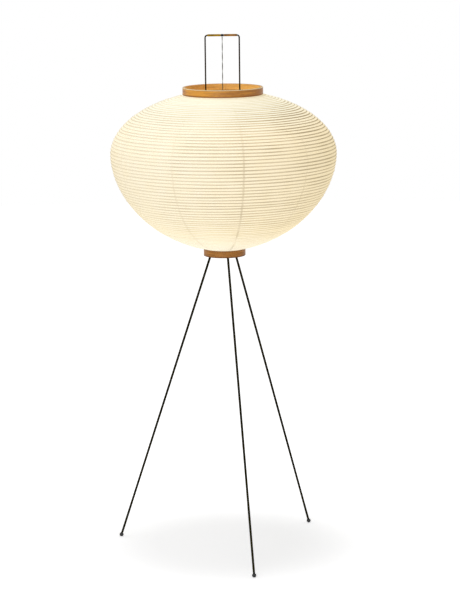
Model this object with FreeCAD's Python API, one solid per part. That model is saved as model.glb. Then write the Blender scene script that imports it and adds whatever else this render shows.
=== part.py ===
import FreeCAD, Part
import math
import os

# A floor lamp with a paper lantern shade on three thin rod legs.
# Millimetres. The origin is on the floor, on the axis of the shade. +Z is up, and -Y faces the viewer.

V = FreeCAD.Vector

# ---- driving sizes: the shade -------------------------------------------------
shade_r = 264.3              # widest radius of the paper
shade_upper_height = 137.7   # from the widest ring up to the top collar
shade_lower_height = 224.0   # from the widest ring down to the bottom collar
upper_fullness = 1.97        # exponent of the upper meridian: 2 is an ellipse
lower_fullness = 1.88        # the same for the lower meridian
gore_count = 10              # strips of paper, pasted edge to edge
first_seam_turn = 10.0       # degrees from straight ahead, towards +X
rib_turns = 72               # turns of the bamboo strip
paper_wall = 0.45            # paper with the paste and the strip's ridge
paper_sag = 0.9              # how far the paper is drawn in between two turns
paper_hem = 8.0              # paper tucked between a collar and its hoop
bamboo_d = 1.3               # the bamboo strip's thickness, corner to corner
bamboo_sides = 4             # a split strip is square
bamboo_gap = 0.15            # from the strip to the paper's inmost face

# ---- driving sizes: the bentwood collars --------------------------------------
stand_height = 706.6         # floor to the bottom collar's lower edge
bottom_collar_r = 49.2
bottom_collar_height = 16.4
bottom_collar_wall = 2.2
top_collar_r = 93.7
top_collar_height = 17.1
top_collar_wall = 2.6
hoop_wall = 2.0              # the inner hoop of each collar
edge_round = 0.6             # rounding of the wooden edges

# ---- driving sizes: the stand -------------------------------------------------
foot_circle_r = 272.8        # the feet's centres
front_foot_turn = 12.6       # degrees from straight ahead, towards +X
leg_d = 5.4
foot_d = 10.0
foot_flat = 0.35             # depth of the worn flat under each foot
leg_past_centre = 1.0        # how far a leg reaches past the ball's centre
leg_circle_r = 33.4          # where the legs pass the hub plate
leg_socket_wall = 1.9
leg_socket_above = 14.0
leg_socket_below = 3.0
leg_nut_height = 4.0
leg_end = 1.5                # leg that stands out of its nut
plate_t = 2.0
plate_recess = 0.7           # the hub plate's lower face above the collar's lower edge
window_inner_r = 14.0        # air windows in the hub plate
window_edge = 2.6            # plate left between a window and a bow socket
spoke_edge = 1.15            # plate on each side of a leg socket's width, between two windows

# ---- driving sizes: the bow and the hanger ------------------------------------
bow_wire_d = 3.4
bow_width = 79.0             # between the centres of the uprights
bow_rise = 119.5             # from the top collar's rim to the middle of the crossbar
bow_corner_r = 5.5
bow_socket_wall = 1.7
bow_socket_height = 18.0
bow_screw_d = 3.0
bow_screw_length = 5.0
bow_screw_head_d = 5.0
bow_screw_head_height = 2.0
hanger_wire_d = 1.8
hook_bend_r = 2.4
hook_tip = 4.0
sleeve_wall = 1.3
sleeve_length = 6.6
spacer_d = 5.0               # tubes on the crossbar that keep the sleeve in the middle
spider_wire_d = 2.0
spider_drop = 12.0           # from the top collar's rim down to the spider wire
spider_jog = 12.0            # length of the bar that the hook holds
spider_bend_r = 2.5

# ---- driving sizes: stem, lampholder and bulb ---------------------------------
stem_d = 10.0
stem_bore_d = 7.4
stem_rise = 45.0             # from the hub plate to the lampholder
hub_nut_height = 3.5
hub_nut_flats = 15.0
leg_nut_flats = 8.0
gland_flange_d = 12.4
gland_flange_t = 1.2
gland_wall = 0.4
gland_depth = 8.0
holder_d = 40.0
holder_wall = 2.4
holder_neck_height = 9.0
holder_neck_wall = 3.2
holder_dome_height = 11.0
holder_body_height = 31.0
insert_t = 6.0
holder_ring_width = 4.0
holder_ring_height = 6.0
screw_shell_wall = 0.5
screw_shell_height = 21.0
centre_contact_d = 8.7
bulb_cap_d = 26.2
bulb_cap_height = 22.0
bulb_d = 60.0
bulb_length = 104.0          # from the contact to the top of the glass
bulb_shoulder_turn = -38.0   # where the round head meets the flank, in degrees above its centre
bulb_cap_bottom = 4.6        # height of the cap's sloping bottom
bulb_cap_hole_d = 11.8       # hole in that bottom, around the contact
glass_wall = 0.8
contact_t = 1.0

# ---- clearances ----------------------------------------------------------------
joint_gap = 0.1              # between two pieces that are pressed, glued or screwed together
seat_gap = 0.2               # between the paper and the wood that it meets
swing_gap = 0.1              # around the crossbar, inside the hanger's sleeve
spacer_gap = 0.3             # from each spacer to the hanger's sleeve
bulb_gap = 0.35              # between the bulb's cap and the lampholder

# ---- levels and radii that follow ----------------------------------------------
bottom_collar_top = stand_height + bottom_collar_height
shade_low = bottom_collar_top + seat_gap
equator = bottom_collar_top + shade_lower_height
top_collar_low = equator + shade_upper_height
shade_high = top_collar_low - seat_gap
top_rim = top_collar_low + top_collar_height
crossbar_height = top_rim + bow_rise
plate_low = stand_height + plate_recess
plate_high = plate_low + plate_t
foot_r = foot_d / 2
leg_r = leg_d / 2
foot_centre_height = foot_r - foot_flat
leg_socket_r = leg_r + joint_gap + leg_socket_wall
bow_r = bow_wire_d / 2
bow_x = bow_width / 2
bow_socket_r = bow_r + joint_gap + bow_socket_wall
hanger_r = hanger_wire_d / 2
spider_r = spider_wire_d / 2
stem_r = stem_d / 2
top_hem_r = top_collar_r - top_collar_wall - joint_gap
bottom_hem_r = bottom_collar_r - bottom_collar_wall - joint_gap
top_hoop_r = top_hem_r - paper_wall - joint_gap
bottom_hoop_r = bottom_hem_r - paper_wall - joint_gap
plate_r = bottom_hem_r - paper_wall / 2
spider_height = top_rim - spider_drop
stem_high = plate_high + stem_rise
gland_low = plate_low - hub_nut_height - 2 * gland_flange_t
leg_turns = {"front": front_foot_turn, "right": front_foot_turn + 120, "left": front_foot_turn - 120}
gore_turn = 360 / gore_count
meridian_steps = 600         # points on each half of the paper's meridian, before they are spaced evenly

os.makedirs("parts", exist_ok=True)


def save(name, solids):
    """Write one node: a solid, or a group of separate solids."""
    shape = solids if not isinstance(solids, list) else Part.makeCompound(solids)
    shape.exportStep("parts/" + name + ".step")


def heading(turn, radius, height=0.0):
    """A point at a radius, turned in degrees from -Y towards +X."""
    angle = math.radians(turn)
    return V(radius * math.sin(angle), -radius * math.cos(angle), height)


def revolved(points, start=0, sweep=360):
    """Turn a closed outline of (radius, height) pairs about Z, through some degrees from a heading."""
    outline = Part.makePolygon([heading(start, r, z) for r, z in points + points[:1]])
    return Part.Solid(Part.Face(outline).revolve(V(0, 0, 0), V(0, 0, 1), sweep))


def ring(inner_r, outer_r, low, high):
    """A plain ring about Z."""
    return revolved([(inner_r, low), (outer_r, low), (outer_r, high), (inner_r, high)])


def rod(radius, start, end):
    """A round rod between two points."""
    along = end - start
    return Part.makeCylinder(radius, along.Length, start, along)


def hexagon(flats, low, high):
    """A hexagonal prism about Z."""
    corner_r = flats / 2 / math.cos(math.radians(30))
    corners = [heading(60 * k, corner_r, low) for k in range(7)]
    return Part.Face(Part.makePolygon(corners)).extrude(V(0, 0, high - low))


def bent_wire(points, radii, wire_r):
    """A round wire along straight runs, with a tangent arc of the given radius at each inner point."""
    edges = []
    start = points[0]
    for before, corner, after, bend_r in zip(points, points[1:], points[2:], radii):
        into = (before - corner).normalize()
        out = (after - corner).normalize()
        half_angle = into.getAngle(out) / 2
        setback = bend_r / math.tan(half_angle)
        middle = (into + out).normalize() * (bend_r / math.sin(half_angle) - bend_r)
        arc_start = corner + into * setback
        arc_end = corner + out * setback
        edges.append(Part.makeLine(start, arc_start))
        edges.append(Part.Arc(arc_start, corner + middle, arc_end).toShape())
        start = arc_end
    edges.append(Part.makeLine(start, points[-1]))
    return swept(edges, wire_r)


def swept(edges, wire_r, sides=0):
    """A wire along a chain of tangent edges: round, or with the given number of flat sides."""
    path = Part.Wire(edges)
    start = edges[0].Vertexes[0].Point
    along = edges[0].tangentAt(edges[0].FirstParameter)
    section = Part.Wire(Part.makeCircle(wire_r, start, along))
    if sides:
        across = section.Edges[0].valueAt(0) - start
        turned = [FreeCAD.Rotation(along, 360 * (k + 0.5) / sides).multVec(across) for k in range(sides)]
        section = Part.makePolygon([start + corner for corner in turned + turned[:1]])
    pipe = Part.BRepOffsetAPI.MakePipeShell(path)
    pipe.add(section)
    pipe.build()
    pipe.makeSolid()
    return Part.Solid(pipe.shape())


# ---- the shade's meridian ------------------------------------------------------
def quarter(low_r, height, fullness):
    """Semi-height of the superellipse that reaches low_r at the given height from the widest ring."""
    return height / (1 - (low_r / shade_r) ** fullness) ** (1 / fullness)


def meridian():
    """Points (radius, height) close together along the paper's outer face, from the top down."""
    upper = quarter(top_hem_r, shade_high - equator, upper_fullness)
    lower = quarter(bottom_hem_r, equator - shade_low, lower_fullness)
    points = []
    top_angle = math.acos((top_hem_r / shade_r) ** (upper_fullness / 2))
    bottom_angle = math.acos((bottom_hem_r / shade_r) ** (lower_fullness / 2))
    for k in range(meridian_steps, 0, -1):
        angle = top_angle * k / meridian_steps
        radius = shade_r * math.cos(angle) ** (2 / upper_fullness)
        points.append((radius, equator + upper * math.sin(angle) ** (2 / upper_fullness)))
    for k in range(meridian_steps + 1):
        angle = bottom_angle * k / meridian_steps
        radius = shade_r * math.cos(angle) ** (2 / lower_fullness)
        points.append((radius, equator - lower * math.sin(angle) ** (2 / lower_fullness)))
    return points


def evenly(points, count):
    """Points spaced evenly by length along a chain, each with its outward normal: (r, z, nr, nz)."""
    reach = [0.0]
    for (r0, z0), (r1, z1) in zip(points, points[1:]):
        reach.append(reach[-1] + math.hypot(r1 - r0, z1 - z0))
    spaced = []
    at = 0
    for k in range(count + 1):
        goal = reach[-1] * k / count
        while at < len(points) - 2 and reach[at + 1] < goal:
            at += 1
        (r0, z0), (r1, z1) = points[at], points[at + 1]
        step = reach[at + 1] - reach[at]
        share = (goal - reach[at]) / step
        spaced.append((r0 + (r1 - r0) * share, z0 + (z1 - z0) * share, (z0 - z1) / step, (r1 - r0) / step))
    return spaced


def inward(spaced, depth):
    """Move one spaced point along its normal into the shade."""
    r, z, nr, nz = spaced
    return (r - nr * depth, z - nz * depth)


outline = meridian()
paper_points = evenly(outline, 2 * rib_turns)


def paper_shade():
    """The gores: a ridge over every turn of bamboo, drawn in between them, with a hem at each end."""
    outer = [inward(p, paper_sag * (k % 2)) for k, p in enumerate(paper_points)]
    inner = [inward(p, paper_sag * (k % 2) + paper_wall) for k, p in enumerate(paper_points)]
    inner.reverse()
    top_hem = [(top_hem_r - paper_wall, shade_high + paper_hem), (top_hem_r, shade_high + paper_hem)]
    bottom_hem = [(bottom_hem_r, shade_low - paper_hem), (bottom_hem_r - paper_wall, shade_low - paper_hem)]
    inside_bottom = [(bottom_hem_r - paper_wall, inner[0][1])]
    inside_top = [(top_hem_r - paper_wall, inner[-1][1])]
    profile = top_hem + outer + bottom_hem + inside_bottom + inner + inside_top
    return [revolved(profile, first_seam_turn + k * gore_turn, gore_turn) for k in range(gore_count)]


# ---- the bamboo strip: one spiral ----------------------------------------------
strip_depth = paper_sag + paper_wall + bamboo_gap + bamboo_d / 2


def strip_point(turns):
    """A point on the strip's centre line, after so many turns from the top, and its direction."""
    low = min(int(2 * turns), 2 * rib_turns - 1)
    share = 2 * turns - low
    r0, z0 = inward(paper_points[low], strip_depth)
    r1, z1 = inward(paper_points[low + 1], strip_depth)
    r, z = r0 + (r1 - r0) * share, z0 + (z1 - z0) * share
    r_rate, z_rate = 2 * (r1 - r0), 2 * (z1 - z0)
    angle = 2 * math.pi * turns
    across = V(math.sin(angle), -math.cos(angle), 0)
    along = V(math.cos(angle), math.sin(angle), 0)
    point = across * r + V(0, 0, z)
    direction = (across * r_rate + along * (2 * math.pi * r) + V(0, 0, z_rate)).normalize()
    return point, direction


def biarc(start, start_along, end, end_along):
    """Two tangent arcs from start to end."""
    chord = end - start
    both = start_along + end_along
    spread = 2 * (1 - start_along.dot(end_along))
    reach = (-chord.dot(both) + math.sqrt(chord.dot(both) ** 2 + spread * chord.dot(chord))) / spread
    first_corner = start + start_along * reach
    last_corner = end - end_along * reach
    joint = (first_corner + last_corner) * 0.5
    return [arc(start, first_corner, joint), arc(joint, last_corner, end)]


def arc(start, corner, end):
    """The arc that leaves start towards corner and comes from corner into end."""
    middle = (start + end) * 0.5
    half_cos = (end - middle).Length / (end - corner).Length
    return Part.Arc(start, middle + (corner - middle) * (half_cos / (1 + half_cos)), end).toShape()


def bamboo_spiral():
    """The strip, wound from collar to collar in one length, each half turn a pair of arcs."""
    first_turn = 0.5
    half_turns = 2 * rib_turns - 2
    stations = [strip_point(first_turn + k / 2) for k in range(half_turns + 1)]
    edges = []
    for (start, start_along), (end, end_along) in zip(stations, stations[1:]):
        edges += biarc(start, start_along, end, end_along)
    least = min((b[0] - a[0]).Length for a, b in zip(stations, stations[2:]))
    print("bamboo: least gap between turns", round(least - bamboo_d, 2), "mm")
    return swept(edges, bamboo_d / 2, bamboo_sides)


# ---- the collars ---------------------------------------------------------------
def band(outer_r, wall, low, high):
    """A bentwood band with rounded edges."""
    plain = ring(outer_r - wall, outer_r, low, high)
    rims = [e for e in plain.Edges if e.Closed]
    return plain.makeFillet(min(edge_round, wall / 3), rims)


def spider_path():
    """Corner points of the spider wire: across the top hoop, with a short bar where the hook holds it."""
    end_y = math.sqrt((top_hoop_r - hoop_wall / 2) ** 2 - (spider_jog / 2) ** 2)
    side = spider_jog / 2
    z = spider_height
    return [V(-side, -end_y, z), V(-side, -hook_bend_r, z), V(side, -hook_bend_r, z), V(side, end_y, z)]


def top_hoop():
    """The inner hoop of the top collar, with two holes for the spider's ends."""
    hoop = band(top_hoop_r, hoop_wall, top_collar_low, top_rim - edge_round)
    path = spider_path()
    hole_r = spider_r + joint_gap
    hoop = hoop.cut(rod(hole_r, path[0] - V(0, hoop_wall * 2, 0), path[0] + V(0, hoop_wall * 3, 0)))
    return hoop.cut(rod(hole_r, path[3] + V(0, hoop_wall * 2, 0), path[3] - V(0, hoop_wall * 3, 0)))


# ---- the legs ------------------------------------------------------------------
def leg_line(turn):
    """The foot's centre, the point where the leg passes the hub plate, and the leg's direction."""
    foot = heading(turn, foot_circle_r, foot_centre_height)
    crossing = heading(turn, leg_circle_r, (plate_low + plate_high) / 2)
    return foot, crossing, (crossing - foot).normalize()


def leg(turn):
    """A plain rod from inside the foot to just past its nut."""
    foot, crossing, along = leg_line(turn)
    above = leg_socket_above + leg_nut_height + leg_end
    return rod(leg_r, foot - along * leg_past_centre, crossing + along * above)


def foot_ball(turn):
    """A ball with a blind hole for the leg and a flat where it stands on the floor."""
    foot, crossing, along = leg_line(turn)
    ball = Part.makeSphere(foot_r, foot)
    bottom = foot - along * (leg_past_centre + joint_gap)
    ball = ball.cut(rod(leg_r + joint_gap, bottom, foot + along * foot_d))
    return ball.cut(Part.makeBox(2 * foot_d, 2 * foot_d, foot_d, foot - V(foot_d, foot_d, foot.z + foot_d)))


def leg_socket(turn):
    """A slanted tube through the hub plate, which the leg passes."""
    crossing, along = leg_line(turn)[1:]
    low = crossing - along * leg_socket_below
    high = crossing + along * leg_socket_above
    return rod(leg_socket_r, low, high).cut(rod(leg_r + joint_gap, low - along, high + along))


def leg_nut(turn):
    """The nut that holds the leg, on the end of its socket."""
    crossing, along = leg_line(turn)[1:]
    nut = hexagon(leg_nut_flats, 0, leg_nut_height).cut(Part.makeCylinder(leg_r + joint_gap, leg_nut_height))
    seat = crossing + along * leg_socket_above
    nut.Placement = FreeCAD.Placement(seat, FreeCAD.Rotation(V(0, 0, 1), along))
    return nut


# ---- the hub -------------------------------------------------------------------
def window(turn):
    """An air window between two legs: a sector of a ring, clear of every socket."""
    outer_r = min(leg_circle_r, bow_x - bow_socket_r - window_edge)
    half = 60 - math.degrees(math.asin((leg_socket_r + spoke_edge) / window_inner_r))
    sector = ring(window_inner_r, outer_r, plate_low - plate_t, plate_high + plate_t)
    far = 2 * outer_r
    wedge = Part.makePolygon([V(0, 0, 0), heading(turn - half, far), heading(turn + half, far), V(0, 0, 0)])
    wedge = Part.Face(wedge).extrude(V(0, 0, 2 * plate_high))
    return sector.common(wedge)


def hub_plate():
    """A steel disc that the bottom hoop stands on, with holes for the stem, the sockets and the air."""
    plate = ring(stem_r + joint_gap, plate_r, plate_low, plate_high)
    for turn in leg_turns.values():
        crossing, along = leg_line(turn)[1:]
        hole = rod(leg_socket_r + joint_gap, crossing - along * 2 * plate_t, crossing + along * 2 * plate_t)
        plate = plate.cut(hole).cut(window(turn + 60))
    return plate


def bow():
    """The wire that holds the shade stretched: two uprights from the hub plate, and the crossbar."""
    left, right = V(-bow_x, 0, plate_high), V(bow_x, 0, plate_high)
    rise = V(0, 0, crossbar_height - plate_high)
    return bent_wire([left, left + rise, right + rise, right], [bow_corner_r] * 2, bow_r)


def bow_socket(side):
    """A short tube on the hub plate that an upright stands in, with a hole for its screw."""
    foot = V(side * bow_x, 0, plate_high)
    top = foot + V(0, 0, bow_socket_height)
    tube = rod(bow_socket_r, foot, top).cut(rod(bow_r + joint_gap, foot, top))
    middle = foot + V(0, 0, bow_socket_height / 2)
    return tube.cut(rod(bow_screw_d / 2 + joint_gap, middle, middle - V(side * bow_socket_r * 2, 0, 0)))


def bow_screw(side):
    """A small screw that presses on an upright, from the inside of the stand."""
    tip = V(side * (bow_x - bow_r - joint_gap), 0, plate_high + bow_socket_height / 2)
    end = tip - V(side * bow_screw_length, 0, 0)
    screw = rod(bow_screw_d / 2, tip, end)
    return screw.fuse(rod(bow_screw_head_d / 2, end, end - V(side * bow_screw_head_height, 0, 0)))


def hub_nut(low):
    """One of the two nuts that clamp the stem in the hub plate."""
    high = low + hub_nut_height
    return hexagon(hub_nut_flats, low, high).cut(rod(stem_r + joint_gap, V(0, 0, low), V(0, 0, high)))


# ---- the hanger ----------------------------------------------------------------
def crossbar_spacer(side):
    """A thin tube on the crossbar, from the corner of the bow to the hanger's sleeve."""
    end = V(side * (bow_x - bow_corner_r), 0, crossbar_height)
    middle = V(side * (sleeve_length / 2 + spacer_gap), 0, crossbar_height)
    bore = rod(bow_r + joint_gap, V(0, 0, crossbar_height), end * 2 - middle)
    return rod(spacer_d / 2, middle, end).cut(bore)


def hanger_sleeve():
    """The dark sleeve that turns on the crossbar."""
    half = V(sleeve_length / 2, 0, 0)
    middle = V(0, 0, crossbar_height)
    sleeve = rod(bow_r + swing_gap + sleeve_wall, middle - half, middle + half)
    return sleeve.cut(rod(bow_r + swing_gap, middle - half * 2, middle + half * 2))


def hanger_wire():
    """The wire from the sleeve to the spider, with a hook that ends in a short tip."""
    top = V(0, 0, crossbar_height - bow_r - swing_gap - sleeve_wall)
    bend_z = spider_height - spider_r - joint_gap - hanger_r + hook_bend_r
    shank_end = V(0, 0, bend_z)
    lowest = V(0, -hook_bend_r, bend_z - hook_bend_r)
    tip_start = V(0, -2 * hook_bend_r, bend_z)
    shank = Part.makeLine(top, shank_end)
    hook = [Part.Arc(shank_end, lowest, tip_start).toShape()]
    tip = Part.makeLine(tip_start, tip_start + V(0, 0, hook_tip))
    return swept([shank] + hook + [tip], hanger_r)


# ---- the lampholder and the bulb -----------------------------------------------
holder_r = holder_d / 2
holder_body_low = stem_high + holder_dome_height
insert_high = holder_body_low + insert_t
shell_inner_r = bulb_cap_d / 2 + bulb_gap
contact_high = insert_high + contact_t
bulb_low = contact_high + bulb_gap


def stem():
    """The hollow threaded stem between the hub plate and the lampholder."""
    return ring(stem_bore_d / 2, stem_r, gland_low + gland_flange_t, stem_high)


def cord_gland():
    """The bush that lines the lower end of the stem, where a cord would enter."""
    outer_r = stem_bore_d / 2 - joint_gap
    high = gland_low + gland_flange_t + gland_depth
    bush = ring(outer_r - gland_wall, outer_r, gland_low, high)
    return bush.fuse(ring(outer_r - gland_wall, gland_flange_d / 2, gland_low, gland_low + gland_flange_t))


def holder_cap():
    """The lower half of the lampholder: a neck on the stem and a dome."""
    neck_r = stem_r + joint_gap + holder_neck_wall
    low = stem_high - holder_neck_height
    inner_r = holder_r - holder_wall
    points = [(stem_r + joint_gap, low), (neck_r, low), (neck_r, stem_high), (holder_r, holder_body_low)]
    points += [(inner_r, holder_body_low), (neck_r - holder_wall / 2, stem_high + holder_wall)]
    points += [(stem_bore_d / 2, stem_high + holder_wall), (stem_bore_d / 2, stem_high + joint_gap)]
    points += [(stem_r + joint_gap, stem_high + joint_gap)]
    return revolved(points)


def holder_body():
    """The lampholder's outer tube."""
    return ring(holder_r - holder_wall, holder_r, holder_body_low, holder_body_low + holder_body_height)


def holder_insert():
    """The ceramic disc inside the lampholder, under the contacts."""
    return Part.makeCylinder(holder_r - holder_wall - joint_gap, insert_t, V(0, 0, holder_body_low))


def holder_ring():
    """The ring screwed on the outside of the lampholder's body."""
    high = holder_body_low + holder_body_height - holder_ring_height
    inner_r = holder_r + joint_gap
    return band(inner_r + holder_ring_width, holder_ring_width, high - holder_ring_height, high)


def screw_shell():
    """The brass shell that takes the bulb's cap, standing on the insert."""
    shell_high = insert_high + screw_shell_height
    return ring(shell_inner_r, shell_inner_r + screw_shell_wall, insert_high, shell_high)


def bulb_glass():
    """The bulb's glass envelope, standing on its cap: a neck that swells into a round head."""
    cap_top = bulb_low + bulb_cap_height
    top = bulb_low + bulb_length
    head_r = bulb_d / 2
    neck_r = bulb_cap_d / 2 - glass_wall
    centre = V(0, 0, top - head_r)
    neck = V(neck_r, 0, cap_top)
    axis_end = V(0, 0, top)
    shoulder_angle = math.radians(bulb_shoulder_turn)
    side_angle = (math.pi / 2 + shoulder_angle) / 2
    shoulder = centre + V(head_r * math.cos(shoulder_angle), 0, head_r * math.sin(shoulder_angle))
    side = centre + V(head_r * math.cos(side_angle), 0, head_r * math.sin(side_angle))
    hollow = []
    for wall in (0, glass_wall):
        tip = axis_end - V(0, 0, wall)
        low_neck = neck - V(wall, 0, 0)
        inset = (head_r - wall) / head_r
        arc_low = centre + (shoulder - centre) * inset
        dome = Part.Arc(tip, centre + (side - centre) * inset, arc_low).toShape()
        flank = Part.makeLine(arc_low, low_neck)
        close = [Part.makeLine(low_neck, V(0, 0, cap_top)), Part.makeLine(V(0, 0, cap_top), tip)]
        outline = Part.Wire([dome, flank] + close)
        hollow.append(Part.Solid(Part.Face(outline).revolve(V(0, 0, 0), V(0, 0, 1), 360)))
    return hollow[0].cut(hollow[1])


def bulb_cap():
    """The bulb's metal cap: a cup with a sloping bottom, open at the contact."""
    r = bulb_cap_d / 2
    hole_r = bulb_cap_hole_d / 2
    low = bulb_low + contact_t
    slope_top = low + bulb_cap_bottom
    high = bulb_low + bulb_cap_height
    outer = [(hole_r, low), (r, slope_top), (r, high)]
    inner = [(r - glass_wall, high), (r - glass_wall, slope_top + glass_wall), (hole_r, low + glass_wall)]
    return revolved(outer + inner)


def bulb_contact():
    """The bulb's end contact, in its insulating button."""
    return Part.makeCylinder(bulb_cap_hole_d / 2 - joint_gap, 2 * contact_t, V(0, 0, bulb_low))


# ---- write the pieces ----------------------------------------------------------
for name, turn in leg_turns.items():
    save(name + "_leg", leg(turn))
    save(name + "_foot", foot_ball(turn))
    save(name + "_leg_socket", leg_socket(turn))
save("leg_nuts", [leg_nut(turn) for turn in leg_turns.values()])
save("hub_plate", hub_plate())
save("hub_nut_upper", hub_nut(plate_high))
save("hub_nut_lower", hub_nut(plate_low - hub_nut_height))
save("stem", stem())
save("cord_gland", cord_gland())
save("bow", bow())
save("bow_socket_left", bow_socket(-1))
save("bow_socket_right", bow_socket(1))
save("bow_screws", [bow_screw(-1), bow_screw(1)])
save("crossbar_spacer_left", crossbar_spacer(-1))
save("crossbar_spacer_right", crossbar_spacer(1))
save("hanger_sleeve", hanger_sleeve())
save("hanger_wire", hanger_wire())
save("top_collar", band(top_collar_r, top_collar_wall, top_collar_low, top_rim))
save("top_hoop", top_hoop())
save("top_spider", bent_wire(spider_path(), [spider_bend_r] * 2, spider_r))
save("bottom_collar", band(bottom_collar_r, bottom_collar_wall, stand_height, bottom_collar_top))
save("bottom_hoop", band(bottom_hoop_r, hoop_wall, plate_high, bottom_collar_top - edge_round))
save("paper_shade", paper_shade())
save("bamboo_spiral", bamboo_spiral())
save("holder_cap", holder_cap())
save("holder_body", holder_body())
save("holder_insert", holder_insert())
save("holder_ring", holder_ring())
save("screw_shell", screw_shell())
save("centre_contact", Part.makeCylinder(centre_contact_d / 2, contact_t, V(0, 0, insert_high)))
save("bulb_cap", bulb_cap())
save("bulb_glass", bulb_glass())
save("bulb_contact", bulb_contact())
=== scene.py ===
"""Looks of the paper lantern floor lamp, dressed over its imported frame. Metres throughout."""
import logging
import math
from dataclasses import dataclass
from enum import Enum
from typing import ClassVar, Dict, List, Optional, Sequence, Tuple, Union

import bpy
from mathutils import Matrix, Vector


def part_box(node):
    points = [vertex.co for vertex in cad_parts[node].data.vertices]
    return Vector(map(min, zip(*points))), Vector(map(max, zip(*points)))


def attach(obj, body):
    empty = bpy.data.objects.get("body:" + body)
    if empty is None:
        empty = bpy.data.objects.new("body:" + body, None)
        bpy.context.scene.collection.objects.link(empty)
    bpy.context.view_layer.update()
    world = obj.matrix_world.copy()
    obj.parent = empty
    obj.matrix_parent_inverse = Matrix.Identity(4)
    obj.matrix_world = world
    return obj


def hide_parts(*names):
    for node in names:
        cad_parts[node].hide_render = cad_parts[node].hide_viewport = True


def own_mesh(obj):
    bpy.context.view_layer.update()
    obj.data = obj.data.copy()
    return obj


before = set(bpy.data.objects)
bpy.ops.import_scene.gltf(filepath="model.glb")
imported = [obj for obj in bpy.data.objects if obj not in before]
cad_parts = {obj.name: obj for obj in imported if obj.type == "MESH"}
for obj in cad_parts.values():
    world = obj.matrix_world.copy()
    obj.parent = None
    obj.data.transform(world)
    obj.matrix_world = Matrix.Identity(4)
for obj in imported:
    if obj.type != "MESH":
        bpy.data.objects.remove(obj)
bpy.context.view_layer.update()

Socket = bpy.types.NodeSocket
Value = Union[float, Sequence[float], Socket]
Inputs = Dict[Union[int, str], Value]
Colour = Tuple[float, float, float]
Spot = Tuple[float, float, float]
Range = Tuple[float, float]
Sizes = Dict[str, Union[float, int, bpy.types.Material]]

log = logging.getLogger("lantern")


class Body(Enum):
    """The bodies that the new pieces ride on."""

    STAND = "stand"
    HANGER = "hanger"


@dataclass(frozen=True)
class Pattern:
    """A noise: how fine it is, its finer layers, and the values that are spread from 0 to 1."""

    scale: float
    detail: float = 2.0
    rough: float = 0.5
    cut: Range = (0.3, 0.7)


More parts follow.
